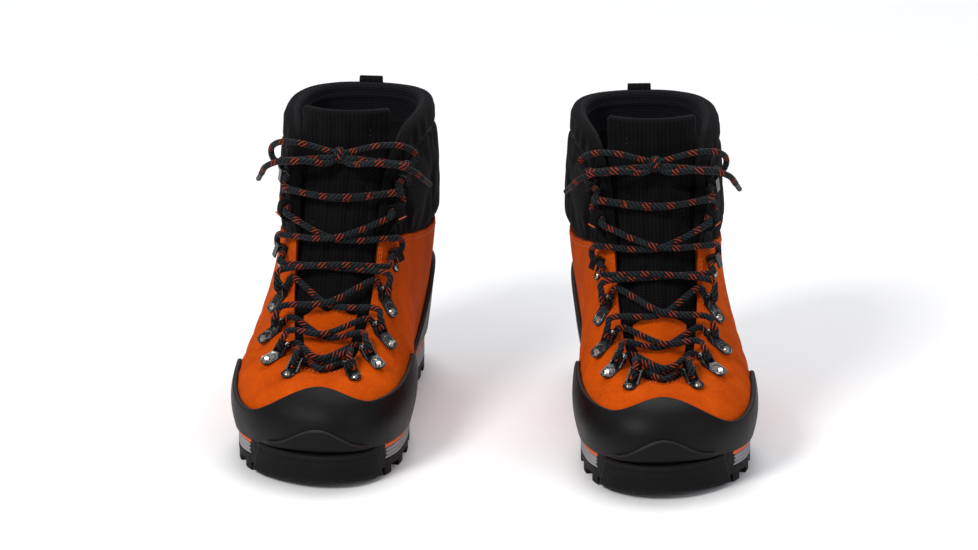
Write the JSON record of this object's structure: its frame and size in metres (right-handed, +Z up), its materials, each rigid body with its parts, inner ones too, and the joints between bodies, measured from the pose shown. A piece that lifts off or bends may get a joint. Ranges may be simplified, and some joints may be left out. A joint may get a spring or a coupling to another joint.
{
  "type": "mountaineering boots",
  "caption": "Pair of ankle-high laced mountaineering boots with rubber rand, lugged sole, softshell collar and roller lace guides; each collar flexes at the ankle.",
  "frame": {"origin": "on the ground, in the middle of the pair's bounding box", "axes": "toes towards -Y, heels towards +Y, +X towards the wearer's left boot, +Z up"},
  "size_m": [0.333, 0.3245, 0.204],
  "materials": {
    "suede_orange": "napped suede",
    "rand_black": "smooth satin rubber",
    "rubber_black": "matte moulded rubber",
    "foam_grey": "matte moulded foam",
    "polymer_orange": "matte moulded polyurethane",
    "spring_steel": "brushed",
    "board_brown": "pressed fibre",
    "footbed_grey": "felt on foam",
    "softshell_black": "fine woven stretch fabric",
    "webbing_black": "woven webbing",
    "metal_black": "semi-gloss coating",
    "metal_dark": "gunmetal plating",
    "nickel": "polished nickel",
    "lace_black": "round braid with orange and teal flecks"
  },
  "bodies": {
    "right_foot": {"right_outsole": "rubber_black", "right_midsole": "foam_grey", "right_midsole_frame": "polymer_orange", "right_shank": "spring_steel", "right_lasting_board": "board_brown", "right_footbed": "footbed_grey", "right_upper": "suede_orange", "right_toe_puff": "board_brown", "right_heel_counter": "board_brown", "right_rand": "rand_black", "right_heel_cup": "rand_black", "right_flex_panel": "softshell_black", "right_tongue": "softshell_black", "right_tongue_patch": "suede_orange", "right_toe_loops": "metal_black", "right_guide_plates": "metal_black", "right_pins_and_rivets": "metal_black", "right_locking_hooks": "metal_dark", "right_lace": "lace_black"},
    "right_cuff": {"right_collar": "softshell_black", "right_heel_pull": "webbing_black", "right_tongue_top": "softshell_black", "right_collar_loops": "webbing_black", "right_top_hooks": "metal_dark"},
    "left_foot": {"left_outsole": "rubber_black", "left_midsole": "foam_grey", "left_midsole_frame": "polymer_orange", "left_shank": "spring_steel", "left_lasting_board": "board_brown", "left_footbed": "footbed_grey", "left_upper": "suede_orange", "left_toe_puff": "board_brown", "left_heel_counter": "board_brown", "left_rand": "rand_black", "left_heel_cup": "rand_black", "left_flex_panel": "softshell_black", "left_tongue": "softshell_black", "left_tongue_patch": "suede_orange", "left_toe_loops": "metal_black", "left_guide_plates": "metal_black", "left_pins_and_rivets": "metal_black", "left_locking_hooks": "metal_dark", "left_lace": "lace_black"},
    "left_cuff": {"left_collar": "softshell_black", "left_heel_pull": "webbing_black", "left_tongue_top": "softshell_black", "left_collar_loops": "webbing_black", "left_top_hooks": "metal_dark"},
    "right_roller_inner_2": {"right_roller_inner_2": "nickel"},
    "right_roller_outer_2": {"right_roller_outer_2": "nickel"},
    "right_roller_inner_3": {"right_roller_inner_3": "nickel"},
    "right_roller_outer_3": {"right_roller_outer_3": "nickel"},
    "right_roller_inner_4": {"right_roller_inner_4": "nickel"},
    "right_roller_outer_4": {"right_roller_outer_4": "nickel"},
    "left_roller_inner_2": {"left_roller_inner_2": "nickel"},
    "left_roller_outer_2": {"left_roller_outer_2": "nickel"},
    "left_roller_inner_3": {"left_roller_inner_3": "nickel"},
    "left_roller_outer_3": {"left_roller_outer_3": "nickel"},
    "left_roller_inner_4": {"left_roller_inner_4": "nickel"},
    "left_roller_outer_4": {"left_roller_outer_4": "nickel"}
  },
  "joints": [
    {"name": "left_boot_lift", "type": "slide", "parent": "right_foot", "child": "left_foot", "axis": [0, 0, 1], "range_m": [0, 0.15]},
    {"name": "right_ankle_flex", "type": "hinge", "parent": "right_foot", "child": "right_cuff", "pos_m": [-0.09379, 0.0391, 0.116], "axis": [0.9925, -0.1219, 0], "range_deg": [-5, 10], "stiffness_Nm_per_rad": 3, "deforming": ["right_flex_panel", "right_lace"]},
    {"name": "left_ankle_flex", "type": "hinge", "parent": "left_foot", "child": "left_cuff", "pos_m": [0.10048, 0.01921, 0.116], "axis": [0.9986, 0.0523, 0], "range_deg": [-5, 10], "stiffness_Nm_per_rad": 3, "deforming": ["left_flex_panel", "left_lace"]},
    {"name": "right_roller_inner_2_spin", "type": "hinge", "parent": "right_foot", "child": "right_roller_inner_2", "pos_m": [-0.08116, -0.07877, 0.07476], "axis": [0.8324, 0.4648, 0.3017], "continuous": true},
    {"name": "right_roller_outer_2_spin", "type": "hinge", "parent": "right_foot", "child": "right_roller_outer_2", "pos_m": [-0.13188, -0.07244, 0.07469], "axis": [0.6423, -0.6993, -0.3137], "continuous": true},
    {"name": "right_roller_inner_3_spin", "type": "hinge", "parent": "right_foot", "child": "right_roller_inner_3", "pos_m": [-0.07334, -0.06248, 0.085], "axis": [0.734, 0.6397, 0.2282], "continuous": true},
    {"name": "right_roller_outer_3_spin", "type": "hinge", "parent": "right_foot", "child": "right_roller_outer_3", "pos_m": [-0.13599, -0.05494, 0.08487], "axis": [0.5078, -0.8126, -0.286], "continuous": true},
    {"name": "right_roller_inner_4_spin", "type": "hinge", "parent": "right_foot", "child": "right_roller_inner_4", "pos_m": [-0.06925, -0.04211, 0.10164], "axis": [0.7276, 0.6753, 0.1204], "continuous": true},
    {"name": "right_roller_outer_4_spin", "type": "hinge", "parent": "right_foot", "child": "right_roller_outer_4", "pos_m": [-0.13489, -0.03422, 0.10168], "axis": [0.545, -0.8192, -0.1787], "continuous": true},
    {"name": "left_roller_inner_2_spin", "type": "hinge", "parent": "left_foot", "child": "left_roller_inner_2", "pos_m": [0.07966, -0.09749, 0.07476], "axis": [-0.798, 0.5217, 0.3017], "continuous": true},
    {"name": "left_roller_outer_2_spin", "type": "hinge", "parent": "left_foot", "child": "left_roller_outer_2", "pos_m": [0.1307, -0.09472, 0.07469], "axis": [-0.6895, -0.6528, -0.3137], "continuous": true},
    {"name": "left_roller_inner_3_spin", "type": "hinge", "parent": "left_foot", "child": "left_roller_inner_3", "pos_m": [0.073, -0.08069, 0.085], "axis": [-0.6876, 0.6893, 0.2282], "continuous": true},
    {"name": "left_roller_outer_3_spin", "type": "hinge", "parent": "left_foot", "child": "left_roller_outer_3", "pos_m": [0.13602, -0.07754, 0.08487], "axis": [-0.5633, -0.7752, -0.286], "continuous": true},
    {"name": "left_roller_inner_4_spin", "type": "hinge", "parent": "left_foot", "child": "left_roller_inner_4", "pos_m": [0.07034, -0.06009, 0.10164], "axis": [-0.6787, 0.7244, 0.1204], "continuous": true},
    {"name": "left_roller_outer_4_spin", "type": "hinge", "parent": "left_foot", "child": "left_roller_outer_4", "pos_m": [0.13636, -0.0568, 0.10168], "axis": [-0.6008, -0.7792, -0.1787], "continuous": true}
  ]
}
